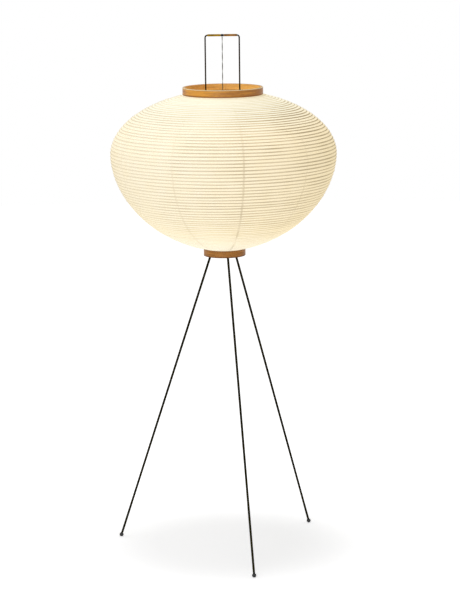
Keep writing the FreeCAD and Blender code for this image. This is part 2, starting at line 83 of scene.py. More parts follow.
# ---- node trees ----
class Web:
    """A short way to write a node tree, for a material, the world or Geometry Nodes."""

    def __init__(self, tree: bpy.types.NodeTree) -> None:
        """Take over a tree and empty it.

        Args:
            tree: the tree that the nodes go into.
        """
        self.tree = tree
        self.tree.nodes.clear()

    def node(self, kind: str, inputs: Optional[Inputs] = None, **settings: str) -> bpy.types.Node:
        """Add a node.

        Args:
            kind: the node's type name.
            inputs: values or sockets for its inputs, by name or number.
            settings: its own properties.

        Returns:
            The new node.
        """
        made = self.tree.nodes.new(kind)
        for name, value in settings.items():
            setattr(made, name, value)
        for key, value in (inputs or {}).items():
            self.feed(made.inputs[key], value)
        return made

    def out(self, kind: str, inputs: Optional[Inputs] = None, **settings: str) -> Socket:
        """Add a node, and give its first output."""
        return self.node(kind, inputs, **settings).outputs[0]

    def feed(self, socket: Socket, value: Value) -> None:
        """Link a socket to another one, or set its value.

        Args:
            socket: the input.
            value: an output socket, or one or more numbers.
        """
        if isinstance(value, Socket):
            self.tree.links.new(value, socket)
        else:
            socket.default_value = value

    def math(self, operation: str, first: Value, second: Value = 0.0) -> Socket:
        """Do one step of arithmetic, named as in the Math node."""
        return self.out("ShaderNodeMath", {0: first, 1: second}, operation=operation)

    def plus(self, first: Value, second: Value) -> Socket:
        """Add two numbers."""
        return self.math("ADD", first, second)

    def minus(self, first: Value, second: Value) -> Socket:
        """Subtract the second number from the first."""
        return self.math("SUBTRACT", first, second)

    def times(self, first: Value, *others: Value) -> Socket:
        """Multiply numbers.

        Args:
            first: the first number.
            others: the numbers to multiply it by.

        Returns:
            The product's socket.
        """
        for other in others:
            first = self.math("MULTIPLY", first, other)
        return first

    def over(self, first: Value, second: Value) -> Socket:
        """Divide the first number by the second."""
        return self.math("DIVIDE", first, second)

    def clamped(self, value: Value) -> Socket:
        """Keep a number between 0 and 1."""
        return self.out("ShaderNodeClamp", {0: value})

    def from_line(self, value: Value) -> Socket:
        """Give the distance of a number from the nearest whole one."""
        return self.math("ABSOLUTE", self.minus(self.math("FRACT", self.plus(value, 0.5)), 0.5))

    def seen(self) -> Socket:
        """Tell what is looked at from what only lights things.

        Returns:
            A socket with 1 for rays from the camera, gloss or glass, and 0 for others.
        """
        paths = self.node("ShaderNodeLightPath").outputs
        mirrored = self.math("MAXIMUM", paths["Is Glossy Ray"], paths["Is Transmission Ray"])
        return self.math("MAXIMUM", paths["Is Camera Ray"], mirrored)

    def vector(self, operation: str, first: Value, second: Value = (0.0, 0.0, 0.0)) -> Socket:
        """Do one step on vectors, named as in the Vector Math node."""
        made = self.node("ShaderNodeVectorMath", {0: first, 1: second}, operation=operation)
        return made.outputs["Value" if operation == "LENGTH" else "Vector"]

    def scaled(self, vector: Value, factor: Value) -> Socket:
        """Multiply a vector by a number."""
        made = self.node("ShaderNodeVectorMath", {0: vector, "Scale": factor}, operation="SCALE")
        return made.outputs["Vector"]

    def join(self, x: Value, y: Value, z: Value) -> Socket:
        """Make a vector of three numbers."""
        return self.out("ShaderNodeCombineXYZ", {0: x, 1: y, 2: z})

    def split(self, vector: Value) -> List[Socket]:
        """Give the three numbers of a vector."""
        return list(self.node("ShaderNodeSeparateXYZ", {0: vector}).outputs)

    def spread(self, value: Value, over: Range, low: Value = 0.0, high: Value = 1.0) -> Socket:
        """Map a range smoothly to low at its start and high at its end, and keep to them outside it."""
        inputs = {0: value, 1: over[0], 2: over[1], 3: low, 4: high}
        return self.out("ShaderNodeMapRange", inputs, interpolation_type="SMOOTHSTEP")

    def noise(self, place: Value, look: Pattern, output: str = "Fac") -> Socket:
        """Add a noise: its Fac is one number, and its Color three."""
        inputs = {"Vector": place, "Scale": look.scale, "Detail": look.detail, "Roughness": look.rough}
        return self.node("ShaderNodeTexNoise", inputs).outputs[output]

    def speckle(self, place: Value, look: Pattern, low: float = 0.0, high: float = 1.0) -> Socket:
        """Add a noise that runs from low to high."""
        return self.spread(self.noise(place, look), look.cut, low, high)

    def blend(self, share: Value, first: Value, second: Value) -> Socket:
        """Mix two colours: a share of 0 gives the first, and a share of 1 the second."""
        # The colours are the node's inputs 6 and 7 and its output 2.
        ends = {k: c if isinstance(c, Socket) else (*c, 1.0) for k, c in ((6, first), (7, second))}
        return self.node("ShaderNodeMix", {0: share, **ends}, data_type="RGBA").outputs[2]


# ---- finishes ----
@dataclass(frozen=True)
class Finish:
    """A finish: one material, made from nodes."""

    made: ClassVar[Dict["Finish", bpy.types.Material]] = {}
    name: str

    def surface(self, web: Web) -> Inputs:
        """Give the inputs of the surface's shader, made in the material's tree."""
        raise NotImplementedError

    def shader(self, web: Web) -> Socket:
        """Build the surface in the material's tree, and give its shader socket."""
        return web.out("ShaderNodeBsdfPrincipled", self.surface(web))

    def material(self) -> bpy.types.Material:
        """Make the material, once.

        Returns:
            The material.
        """
        if self not in Finish.made:
            made = bpy.data.materials.new(self.name + "_finish")
            made.use_nodes = True
            web = Web(made.node_tree)
            web.node("ShaderNodeOutputMaterial", {"Surface": self.shader(web)})
            Finish.made[self] = made
        return Finish.made[self]

    @property
    def slot(self) -> str:
        """Give the slot, which has the finish's own name."""
        return self.name

    @staticmethod
    def place(web: Web) -> Socket:
        """Give the object coordinates of a web."""
        return web.node("ShaderNodeTexCoord").outputs["Object"]

    @staticmethod
    def bumped(web: Web, height: Value, depth: float) -> Socket:
        """Make a bump of a height from 0 to 1, where 1 stands as high as the depth."""
        return web.out("ShaderNodeBump", {"Height": height, "Distance": depth, "Strength": 1.0})


@dataclass(frozen=True)
class PaperFinish(Finish):
    """Handmade paper over bamboo ribs, with a map of (way round, turns from the top).

    The width of a rib is in turns, and a seam's in metres.
    """

    sheet: Colour = (0.862, 0.828, 0.79)
    warm: Colour = (0.885, 0.79, 0.69)
    shaded_side: Range = (-0.22, 0.22)
    yellowing: Colour = (1.0, 0.985, 0.94)
    mottling: Pattern = Pattern(28.0, 3.0, 0.6)
    pale: Colour = (0.8, 0.865, 0.865)
    lit_top: Range = (1.0, 1.08)
    lit_top_share: float = 0.8
    fibres: Pattern = Pattern(420.0, 4.0, 0.7, (0.55, 0.8))
    fibre_slant: Spot = (1.0, 1.0, 0.35)
    fibre_share: float = 0.25
    fibre_depth: float = 0.00012
    glow: Colour = (1.0, 0.81, 0.385)
    glow_strength: float = 0.505
    dim_top: Range = (0.98, 1.06)
    dim_gain: float = 0.96
    bulb_height: float = 0.86
    near_glow: Colour = (1.0, 0.93, 0.7)
    near_tint: Range = (0.13, 0.2)
    near_bulb: Range = (0.13, 0.24)
    near_gain: float = 1.32
    rib: Colour = (0.44, 0.34, 0.22)
    rib_shade: float = 0.65
    rib_width: Range = (0.06, 0.28)
    rib_peak: float = 1.15
    rib_most: float = 1.1
    rib_strength: float = 0.62
    rib_patches: Pattern = Pattern(9.0, 2.0, 0.6)
    rib_sway: Range = (0.75, 1.25)
    least: Range = (0.28, 0.38)
    least_rise: Range = (0.95, 1.03)
    shade_above: float = 0.94
    shade_gain: float = 340.0
    shade_loss: float = 10.0
    lit_left: Range = (-0.19, -0.04)
    lit_left_loss: float = 0.34
    front: Range = (-0.1, 0.06)
    top_fade: Range = (1.05, 1.08)
    top_least: float = 0.5
    bottom_fade: Range = (0.728, 0.86)
    bottom_least: float = 0.4
    gores: int = 10
    first_seam: float = 10.0
    seam_width: float = 0.0036
    seam_core: float = 0.3
    seam_strength: float = 0.62
    seam_sway: float = 0.36
    seam_step: float = 1.876
    seam_patches: Pattern = Pattern(14.0, cut=(0.35, 0.65))
    seam_share: Range = (0.15, 0.5)
    seam_fade: Range = (0.9, 1.04)
    seam_top: float = 0.3

    def surface(self, web: Web) -> Inputs:
        """Make the inputs of the surface.

        Args:
            web: the material's tree.

        Returns:
            Values and sockets by name.
        """
        around, turns, _ = web.split(web.out("ShaderNodeUVMap", uv_map="UVMap"))
        place = self.place(web)
        x, _, height = web.split(place)
        fibre = web.noise(web.vector("MULTIPLY", place, self.fibre_slant), self.fibres)
        # The sheet is painted warmer and a little darker towards +X, as painted shade on the side away
        # from the light.
        side_shaded_sheet = web.blend(web.spread(x, self.shaded_side), self.sheet, self.warm)
        yellower = web.vector("MULTIPLY", side_shaded_sheet, self.yellowing)
        cream = web.blend(web.speckle(place, self.mottling), side_shaded_sheet, yellower)
        # Towards the top the sheet is painted paler and cooler, as painted light from above.
        cream = web.blend(web.spread(height, self.lit_top, 0.0, self.lit_top_share), cream, self.pale)
        fibrous = web.times(web.spread(fibre, self.fibres.cut), self.fibre_share)
        cream = web.blend(fibrous, cream, self.rib)
        dark = web.math("MAXIMUM", self.rib_line(web, turns, place), self.seam_line(web, around, place))
        far = web.vector("LENGTH", web.vector("SUBTRACT", place, (0.0, 0.0, self.bulb_height)))
        bright = web.spread(far, self.near_bulb, self.glow_strength * self.near_gain, self.glow_strength)
        bright = web.times(bright, web.spread(height, self.dim_top, 1.0, self.dim_gain))
        return {
            "Base Color": web.blend(dark, cream, self.rib),
            "Roughness": 0.85,
            "Specular IOR Level": 0.25,
            "Normal": self.bumped(web, fibre, self.fibre_depth),
            "Emission Color": web.blend(web.spread(far, self.near_tint), self.near_glow, self.glow),
            "Emission Strength": web.times(web.minus(1.0, web.times(dark, self.rib_shade)), bright),
        }

    def rib_line(self, web: Web, turns: Socket, place: Socket) -> Socket:
        """Mark where the bamboo shows through the paper, with painted shade in how clearly it shows.

        Args:
            web: the material's tree.
            turns: the turns from the top.
            place: the object coordinates.

        Returns:
            A mask's socket.
        """
        x, y, z = web.split(place)
        # High on the front the ribs are painted clearer towards +X, as painted shade on the side away
        # from the light, and fainter towards -X.
        up = web.math("MAXIMUM", web.minus(z, self.shade_above), 0.0)
        rib_side_shade = web.minus(web.times(x, self.shade_gain), self.shade_loss)
        rib_side_shade = web.times(web.times(up, up), rib_side_shade)
        # They are painted fainter all down the front left, where the light falls, and even at the back.
        rib_side_shade = web.minus(rib_side_shade, web.spread(x, self.lit_left, self.lit_left_loss, 0.0))
        rib_side_shade = web.times(rib_side_shade, web.spread(y, self.front, 1.0, 0.0))
        least = web.spread(z, self.least_rise, *self.least)
        strength = web.math("MAXIMUM", web.plus(rib_side_shade, self.rib_strength), least)
        # They come and go in patches, and fade towards both collars.
        strength = web.times(strength, web.spread(z, self.top_fade, 1.0, self.top_least))
        strength = web.times(strength, web.speckle(place, self.rib_patches, *self.rib_sway))
        strength = web.times(strength, web.spread(z, self.bottom_fade, self.bottom_least, 1.0))
        line = web.spread(web.from_line(turns), self.rib_width, self.rib_peak, 0.0)
        return web.math("MINIMUM", web.times(line, strength), self.rib_most)

    def seam_line(self, web: Web, around: Socket, place: Socket) -> Socket:
        """Mark where two gores overlap, each seam in a strength of its own.

        Args:
            web: the material's tree.
            around: the way round the shade, from 0 to 1.
            place: the object coordinates.

        Returns:
            A mask's socket.
        """
        x, y, z = web.split(place)
        radius = web.math("SQRT", web.plus(web.times(x, x), web.times(y, y)))
        count = web.times(web.minus(around, self.first_seam / 360.0), float(self.gores))
        width = web.times(web.from_line(count), radius, math.tau / self.gores)
        own = web.math("COSINE", web.times(web.math("FLOOR", web.plus(count, 0.5)), self.seam_step))
        paste = web.plus(web.times(own, self.seam_sway), self.seam_strength)
        core = self.seam_core * self.seam_width
        line = web.times(web.spread(width, (core, self.seam_width), 1.0, 0.0), paste)
        # The seams come and go in patches, and fade towards the top collar.
        patchy = web.speckle(place, self.seam_patches, *self.seam_share)
        return web.times(line, web.times(patchy, web.spread(z, self.seam_fade, 1.0, self.seam_top)))


@dataclass(frozen=True)
class BentWoodFinish(Finish):
    """A bent band of wood with its grain round the axis, and painted light and shade: along its upper
    edge, at its foot and towards one side.
    """

    light: Colour
    dark: Colour
    edge: Colour
    rim: Range
    foot: Range
    side_shade: float
    roughness: float = 0.42
    broad: Pattern = Pattern(1.0, 3.0, 0.6)
    broad_pace: Range = (1.1, 260.0)
    fine: Pattern = Pattern(1.0, 3.0, 0.65)
    fine_pace: Range = (9.0, 1300.0)
    broad_share: float = 0.6
    contrast: Range = (0.36, 0.64)
    middle: Range = (-0.068, 0.06)
    middle_shade: Range = (-0.5, 0.5)
    far_left: Range = (-0.093, -0.076)
    far_left_shade: float = 0.7
    shade_tint: Colour = (0.5, 0.38, 0.3)
    shade_share: float = 0.85
    lit_front: Range = (-0.03, 0.05)
    lit_back: float = 0.15
    relief: float = 0.00015

    @staticmethod
    def grain(web: Web, ring: Socket, z: Socket, look: Pattern, pace: Range) -> Socket:
        """Make streaks round the axis, which change at one pace round the band and at one up it."""
        place = web.vector("ADD", web.scaled(ring, pace[0]), web.join(0.0, 0.0, web.times(z, pace[1])))
        return web.noise(place, look)

    def surface(self, web: Web) -> Inputs:
        """Make the inputs of the surface.

        Args:
            web: the material's tree.

        Returns:
            Values and sockets by name.
        """
        x, y, z = web.split(self.place(web))
        ring = web.vector("NORMALIZE", web.join(x, y, 0.0))
        broad = self.grain(web, ring, z, self.broad, self.broad_pace)
        fine = self.grain(web, ring, z, self.fine, self.fine_pace)
        streak = web.plus(web.times(broad, self.broad_share), web.times(fine, 1.0 - self.broad_share))
        # The grain is painted darker towards +X and at the far left end, as painted shade on the sides
        # turned from the light; a negative amount paints light towards +X instead.
        side_shade = web.spread(x, self.middle, *self.middle_shade)
        side_shade = web.plus(side_shade, web.spread(x, self.far_left, self.far_left_shade, 0.0))
        side_shade = web.times(side_shade, self.side_shade)
        colour = web.blend(web.plus(web.spread(streak, self.contrast), side_shade), self.light, self.dark)
        # The foot of the band is painted darker, as painted shade along its lower edge.
        foot_shade = [c * k for c, k in zip(self.dark, self.shade_tint)]
        colour = web.blend(web.spread(z, self.foot, self.shade_share, 0.0), colour, foot_shade)
        # The edge colour is painted along the upper edge, strongest at the front where the light falls:
        # a painted highlight on the top collar and painted shade on the bottom one.
        worn = web.spread(y, self.lit_front, 1.0, self.lit_back)
        rim_light = web.times(web.spread(z, self.rim), worn)
        return {
            "Base Color": web.blend(rim_light, colour, self.edge),
            "Roughness": self.roughness,
            "Specular IOR Level": 0.2,
            "Normal": self.bumped(web, streak, self.relief),
            "Coat Weight": 0.04,
            "Coat Roughness": 0.3,
        }


@dataclass(frozen=True)
class BambooFinish(Finish):
    """Split bamboo, with long fibres and darker patches."""

    light: Colour = (0.66, 0.5, 0.27)
    dark: Colour = (0.45, 0.3, 0.14)
    clouds: Pattern = Pattern(22.0)
    cloud_share: float = 0.6
    fibres: Pattern = Pattern(260.0, 3.0, 0.6)
    fibre_slant: Spot = (1.0, 1.0, 6.0)
    contrast: Range = (0.38, 0.66)
    relief: float = 0.0001

    def surface(self, web: Web) -> Inputs:
        """Make the inputs of the surface.

        Args:
            web: the material's tree.

        Returns:
            Values and sockets by name.
        """
        place = self.place(web)
        fine = web.noise(web.vector("MULTIPLY", place, self.fibre_slant), self.fibres)
        mixed = web.times(web.noise(place, self.clouds), self.cloud_share)
        mixed = web.plus(mixed, web.times(fine, 1.0 - self.cloud_share))
        colour = web.blend(web.spread(mixed, self.contrast), self.light, self.dark)
        return {"Base Color": colour, "Roughness": 0.55, "Normal": self.bumped(web, fine, self.relief)}


@dataclass(frozen=True)
class AgedBrassFinish(Finish):
    """Dull aged brass: brown patches over a yellower ground, and fine draw marks along the tube."""

    ground: Colour
    patch: Colour
    roughness: float = 0.5
    patches: Pattern = Pattern(110.0, 3.0, 0.6, (0.38, 0.68))
    gloss_cut: Range = (0.3, 0.7)
    gloss_gain: float = 0.08
    gloss_loss: float = 0.1
    specular: float = 0.03
    marks: Pattern = Pattern(2200.0)
    mark_slant: Spot = (0.08, 1.0, 1.0)
    relief: float = 0.00002

    def surface(self, web: Web) -> Inputs:
        """Make the inputs of the surface.

        Args:
            web: the material's tree.

        Returns:
            Values and sockets by name.
        """
        place = self.place(web)
        marks = web.noise(web.vector("MULTIPLY", place, self.mark_slant), self.marks)
        patches = web.noise(place, self.patches)
        glossy, dull = self.roughness - self.gloss_gain, self.roughness + self.gloss_loss
        return {
            "Base Color": web.blend(web.spread(patches, self.patches.cut), self.ground, self.patch),
            "Specular IOR Level": self.specular,
            "Roughness": web.spread(patches, self.gloss_cut, glossy, dull),
            "Normal": self.bumped(web, marks, self.relief),
        }


@dataclass(frozen=True)
class PaintedSteelFinish(AgedBrassFinish):
    """Matt black paint on steel, with browner patches and a fine grain, made as the brass is."""

    roughness: float = 0.6
    patches: Pattern = Pattern(22.0, 4.0, 0.65, (0.42, 0.62))
    gloss_cut: Range = (0.2, 0.8)
    gloss_gain: float = 0.06
    specular: float = 0.02
    marks: Pattern = Pattern(1400.0)
    mark_slant: Spot = (1.0, 1.0, 1.0)
    relief: float = 0.00001


@dataclass(frozen=True)
class SolidFinish(Finish):
    """A plain solid stuff, metal or not, with fine grain and slightly uneven colour."""

    colour: Colour
    shade: float = 0.8
    metallic: float = 0.0
    roughness: float = 0.5
    clouds: Pattern = Pattern(90.0, cut=(0.35, 0.7))
    grain: Pattern = Pattern(900.0, 3.0, 0.6, (0.2, 0.8))
    gloss_sway: float = 0.08
    relief: float = 0.00003

    def surface(self, web: Web) -> Inputs:
        """Make the inputs of the surface.

        Args:
            web: the material's tree.

        Returns:
            Values and sockets by name.
        """
        place = self.place(web)
        fine = web.noise(place, self.grain)
        darker = [c * self.shade for c in self.colour]
        glossy, dull = self.roughness - self.gloss_sway, self.roughness + self.gloss_sway
        return {
            "Base Color": web.blend(web.speckle(place, self.clouds), self.colour, darker),
            "Metallic": self.metallic,
            "Roughness": web.spread(fine, self.grain.cut, glossy, dull),
            "Normal": self.bumped(web, fine, self.relief),
        }


@dataclass(frozen=True)
class FrostedGlassFinish(Finish):
    """A frosted bulb with a soft warm light in it."""

    colour: Colour = (0.9, 0.86, 0.78)
    shade: float = 0.95
    glow: Colour = (1.0, 0.82, 0.55)
    strength: float = 1.2
    frost: Pattern = Pattern(700.0)
    relief: float = 0.00002

    def surface(self, web: Web) -> Inputs:
        """Make the inputs of the surface.

        Args:
            web: the material's tree.

        Returns:
            Values and sockets by name.
        """
        fine = web.noise(self.place(web), self.frost)
        darker = [c * self.shade for c in self.colour]
        return {
            "Base Color": web.blend(web.spread(fine, self.frost.cut), self.colour, darker),
            "Roughness": 0.3,
            "Normal": self.bumped(web, fine, self.relief),
            "Emission Color": (*self.glow, 1.0),
            "Emission Strength": self.strength,
        }


@dataclass(frozen=True)
class FloorFinish(Finish):
    """A pale floor that the camera sees as white, apart from the shadows on it and a soft shadow painted
    round the lamp.
    """

    colour: Colour = (0.9, 0.9, 0.9)
    shade: float = 0.995
    grain: Pattern = Pattern(40.0)
    lift: float = 0.43
    far_lift: float = 0.8
    fade: Range = (0.15, 0.55)

    def shader(self, web: Web) -> Socket:
        """Build the surface.

        Args:
            web: the material's tree.

        Returns:
            The surface's shader socket.
        """
        place = self.place(web)
        x, y, _ = web.split(place)
        away = web.vector("LENGTH", web.join(x, y, 0.0))
        darker = [c * self.shade for c in self.colour]
        colour = web.blend(web.speckle(place, self.grain), self.colour, darker)
        plain = web.out("ShaderNodeBsdfDiffuse", {"Color": colour})
        # Near the lamp the floor is lifted less, which paints a soft shadow round its base.
        lift = web.spread(away, self.fade, self.lift, self.far_lift)
        glow = web.out("ShaderNodeEmission", {"Strength": web.times(web.seen(), lift)})
        return web.out("ShaderNodeAddShader", {0: plain, 1: glow})


BLACK_STEEL = PaintedSteelFinish("black_steel", (0.016, 0.014, 0.005), (0.027, 0.022, 0.008))
BOW_STEEL = PaintedSteelFinish("bow_steel", (0.021, 0.012, 0.002), (0.031, 0.018, 0.003))
SLEEVE_WIRE = PaintedSteelFinish("sleeve_plastic", (0.02, 0.016, 0.01), (0.03, 0.02, 0.012), 0.55)
# The crossbar spacers' golden colours are a painted reflection of the bulb's warm light from below; the
# left one is painted lighter and the right one darker, as painted light and shade.
LIT_SPACER_BRASS = AgedBrassFinish("lit_spacer_brass", (0.5, 0.28, 0.003), (0.32, 0.175, 0.002))
SHADED_SPACER_BRASS = AgedBrassFinish("shaded_spacer_brass", (0.44, 0.185, 0.008), (0.22, 0.094, 0.005))
SPIDER_WIRE = AgedBrassFinish("spider_wire", (0.6, 0.32, 0.09), (0.45, 0.24, 0.06))
HANGER_STEEL = SolidFinish("hanger_steel", (0.11, 0.1, 0.06), metallic=0.4)
ZINC_STEEL = SolidFinish("zinc_steel", (0.55, 0.55, 0.53), metallic=1.0, roughness=0.35)
BRASS = SolidFinish("contact_brass", (0.75, 0.55, 0.22), metallic=1.0, roughness=0.3)
CAP_ALUMINIUM = SolidFinish("bulb_aluminium", (0.75, 0.75, 0.76), metallic=1.0, roughness=0.3)
FOOT_RUBBER = SolidFinish("foot_rubber", (0.016, 0.016, 0.015), roughness=0.6, relief=0.00006)
HOLDER_PLASTIC = SolidFinish("holder_plastic", (0.03, 0.03, 0.03), roughness=0.45)
CERAMIC = SolidFinish("holder_ceramic", (0.8, 0.79, 0.75), shade=0.93, roughness=0.6)
CAP_BUTTON = SolidFinish("bulb_button", (0.08, 0.08, 0.08), roughness=0.4)
BULB_GLASS = FrostedGlassFinish("bulb_glass")
BAMBOO = BambooFinish("bamboo")
PAPER = PaperFinish("shade_paper")
PALE_FLOOR = FloorFinish("pale_floor")


# ---- helpers for pieces ----
def dress(names: Sequence[str], finish: Finish) -> None:
    """Give solids of the frame a finish, and report them.

    Args:
        names: the solids' names.
        finish: the finish.
    """
    for name in names:
        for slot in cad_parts[name].material_slots:
            slot.material = finish.material()
        log.info("%s wears %s", name, finish.name)


def settle(piece: bpy.types.Object, body: Body, stands_for: Sequence[str]) -> None:
    """Put a new piece on its body, in place of the solids that it stands for.

    Args:
        piece: the new piece.
        body: the body that it rides on.
        stands_for: the solids that it replaces.
    """
    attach(piece, body.value)
    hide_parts(*stands_for)
    log.info("%s rides on %s, %d faces", piece.name, body.value, len(piece.data.polygons))


class Grower:
    """A Geometry Nodes tree with named inputs, which grows one piece and is then made a plain mesh."""

    KINDS = {float: "NodeSocketFloat", int: "NodeSocketInt", bpy.types.Material: "NodeSocketMaterial"}

    def __init__(self, name: str, sizes: Sizes) -> None:
        """Start a tree.

        Args:
            name: the piece's name.
            sizes: the named inputs and their values.
        """
        self.name = name
        self.sizes = sizes
        self.group = bpy.data.node_groups.new(name, "GeometryNodeTree")
        self.web = Web(self.group)
        for label, value in sizes.items():
            self.group.interface.new_socket(label, in_out="INPUT", socket_type=self.KINDS[type(value)])
        self.group.interface.new_socket("Geometry", in_out="OUTPUT", socket_type="NodeSocketGeometry")
        self.given = self.web.node("NodeGroupInput").outputs

    def number(self) -> Socket:
        """Give the number of each point, from 0."""
        return self.web.out("GeometryNodeInputIndex")

    def line(self, count: Value, place: Value) -> Socket:
        """Make a curve through places that depend on the point's number.

        Args:
            count: how many points it has.
            place: their places.

        Returns:
            The curve's socket.
        """
        points = self.web.out("GeometryNodeMeshLine", {"Count": count})
        placed = self.web.out("GeometryNodeSetPosition", {0: points, "Position": place})
        return self.web.out("GeometryNodeMeshToCurve", {0: placed})

    def sweep(self, path: Socket, thickness: Socket, sides: int) -> Socket:
        """Make a rod or wire along a curve, closed at both ends.

        Args:
            path: the curve.
            thickness: how thick it is.
            sides: how many sides it has.

        Returns:
            The solid's socket.
        """
        circle = {"Resolution": sides, "Radius": self.web.times(thickness, 0.5)}
        section = self.web.out("GeometryNodeCurvePrimitiveCircle", circle, mode="RADIUS")
        swept = {"Curve": path, "Profile Curve": section, "Fill Caps": True}
        return self.web.out("GeometryNodeCurveToMesh", swept)

    def grow(self, geometry: Socket) -> bpy.types.Object:
        """Close the tree and grow the piece.

        Args:
            geometry: the tree's last geometry socket.

        Returns:
            The piece, a plain mesh with its place in its mesh.
        """
        real = self.web.out("GeometryNodeRealizeInstances", {0: geometry})
        smooth = self.web.out("GeometryNodeSetShadeSmooth", {0: real})
        worn = {0: smooth, "Material": self.given["Material"]}
        dressed = self.web.out("GeometryNodeSetMaterial", worn)
        self.web.node("NodeGroupOutput", {0: dressed})
        piece = bpy.data.objects.new(self.name, bpy.data.meshes.new(self.name))
        bpy.context.scene.collection.objects.link(piece)
        grower = piece.modifiers.new(self.name, "NODES")
        grower.node_group = self.group
        for item in self.group.interface.items_tree:
            if item.in_out == "INPUT":
                grower[item.identifier] = self.sizes[item.name]
        graph = bpy.context.evaluated_depsgraph_get()
        grown = piece.evaluated_get(graph)
        plain = bpy.data.meshes.new_from_object(grown, preserve_all_data_layers=True, depsgraph=graph)
        piece.modifiers.clear()
        piece.data = plain
        plain.name = self.name
        return piece


# ---- the shade ----
@dataclass
class Shade:
    """The paper and the bamboo strip that is wound inside it."""

    radius: float = 0.2643
    upper_fullness: float = 1.97
    lower_fullness: float = 1.88
    top_radius: float = 0.0910
    bottom_radius: float = 0.0469
    low: float = 0.7232
    equator: float = 0.9470
    high: float = 1.0845
    outline_points: int = 1201
    turns: int = 72
    wall: float = 0.00045
    sag: float = 0.0009
    hem: float = 0.008
    strip: float = 0.0013
    strip_gap: float = 0.00005
    uneven: float = 0.0005
    uneven_pattern: Pattern = Pattern(1.0, 1.0)
    uneven_slant: float = 0.5
    uneven_pace: float = 0.9
    seed_pace: float = 131.0
    calm_turns: Range = (0.0, 3.0)
    columns: int = 192
    outer_rows: int = 4
    inner_rows: int = 2
    weld: float = 0.00001
    strip_points: int = 96
    drop: float = 0.185
    seed: int = 4

    def reach(self, end_radius: float, height: float, fullness: float) -> float:
        """Give the half height of the closed curve that a part of the outline lies on."""
        return height / (1.0 - (end_radius / self.radius) ** fullness) ** (1.0 / fullness)

    def sizes(self, finish: Finish) -> Sizes:
        """Give the named inputs that the trees of the paper and the strip share.

        Args:
            finish: the finish of the piece.

        Returns:
            The inputs.
        """
        return {
            "Radius": self.radius,
            "Equator": self.equator,
            "Upper Reach": self.reach(self.top_radius, self.high - self.equator, self.upper_fullness),
            "Lower Reach": self.reach(self.bottom_radius, self.equator - self.low, self.lower_fullness),
            "Upper Power": 2.0 / self.upper_fullness,
            "Lower Power": 2.0 / self.lower_fullness,
            "Top Angle": math.acos((self.top_radius / self.radius) ** (self.upper_fullness / 2.0)),
            "Bottom Angle": math.acos((self.bottom_radius / self.radius) ** (self.lower_fullness / 2.0)),
            "Turns": float(self.turns),
            "Uneven": self.uneven,
            "Seed": self.seed,
            "Material": finish.material(),
        }

    def outline(self, grower: Grower) -> Socket:
        """Make the outline as a curve in the XZ plane, from the top down.

        Args:
            grower: the tree.

        Returns:
            The curve's socket.
        """
        web, given = grower.web, grower.given
        share = web.over(grower.number(), self.outline_points - 1.0)
        whole = web.plus(given["Top Angle"], given["Bottom Angle"])
        angle = web.minus(given["Top Angle"], web.times(share, whole))
        upper = web.math("GREATER_THAN", angle, 0.0)
        lower = web.minus(1.0, upper)
        power = web.plus(web.times(upper, given["Upper Power"]), web.times(lower, given["Lower Power"]))
        rise = web.minus(web.times(upper, given["Upper Reach"]), web.times(lower, given["Lower Reach"]))
        radius = web.times(given["Radius"], web.math("POWER", web.math("COSINE", angle), power))
        height = web.math("POWER", web.math("ABSOLUTE", web.math("SINE", angle)), power)
        height = web.plus(given["Equator"], web.times(rise, height))
        return grower.line(self.outline_points, web.join(radius, 0.0, height))

    def spot(self, grower: Grower, turns: Socket, around: Socket) -> Tuple[Socket, ...]:
        """Find a spot of the outline by turns of the spiral, with the hand-made unevenness in it.

        Args:
            grower: the tree.
            turns: the turns from the top.
            around: the way round, from 0 to 1.

        Returns:
            Sockets of radius, height, and the outward normal's radial and upward parts.
        """
        web, given = grower.web, grower.given
        angle = web.times(around, math.tau)
        level = web.plus(web.times(turns, self.uneven_pace), web.times(given["Seed"], self.seed_pace))
        where = web.join(web.math("COSINE", angle), web.math("SINE", angle), level)
        chance = web.vector("SUBTRACT", web.noise(where, self.uneven_pattern, "Color"), (0.5, 0.5, 0.5))
        out, along, _ = web.split(chance)
        # The noise stays within about a quarter of its middle, so four times it reaches one.
        calm = web.spread(web.math("MINIMUM", turns, web.minus(given["Turns"], turns)), self.calm_turns)
        out = web.times(out, calm, web.times(given["Uneven"], 4.0))
        along = web.times(along, calm, self.uneven_slant)
        share = web.over(web.plus(turns, along), given["Turns"])
        sampled = {"Curves": self.outline(grower), "Factor": web.clamped(share)}
        found = web.node("GeometryNodeSampleCurve", sampled, mode="FACTOR").outputs
        radius, _, height = web.split(found["Position"])
        run, _, rise = web.split(found["Tangent"])
        normal_out = web.times(rise, -1.0)
        radius = web.plus(radius, web.times(normal_out, out))
        height = web.plus(height, web.times(run, out))
        return radius, height, normal_out, run

    @staticmethod
    def round_axis(web: Web, around: Socket, radius: Socket, height: Socket) -> Socket:
        """Turn radius and height round the axis, from straight ahead towards +X.

        Args:
            web: the tree.
            around: the way round, from 0 to 1.
            radius: the distance from the axis.
            height: the height.

        Returns:
            The position's socket.
        """
        angle = web.times(around, math.tau)
        x = web.times(radius, web.math("SINE", angle))
        y = web.times(radius, web.math("COSINE", angle), -1.0)
        return web.join(x, y, height)

    def build_paper(self) -> bpy.types.Object:
        """Grow the paper: a closed sheet with a ridge over each turn and a hem at each end.

        Returns:
            The piece.
        """
        sizes = self.sizes(PAPER)
        sizes.update({"Columns": self.columns, "Wall": self.wall, "Sag": self.sag, "Hem": self.hem})
        grower = Grower("lantern_paper", sizes)
        web, given = grower.web, grower.given
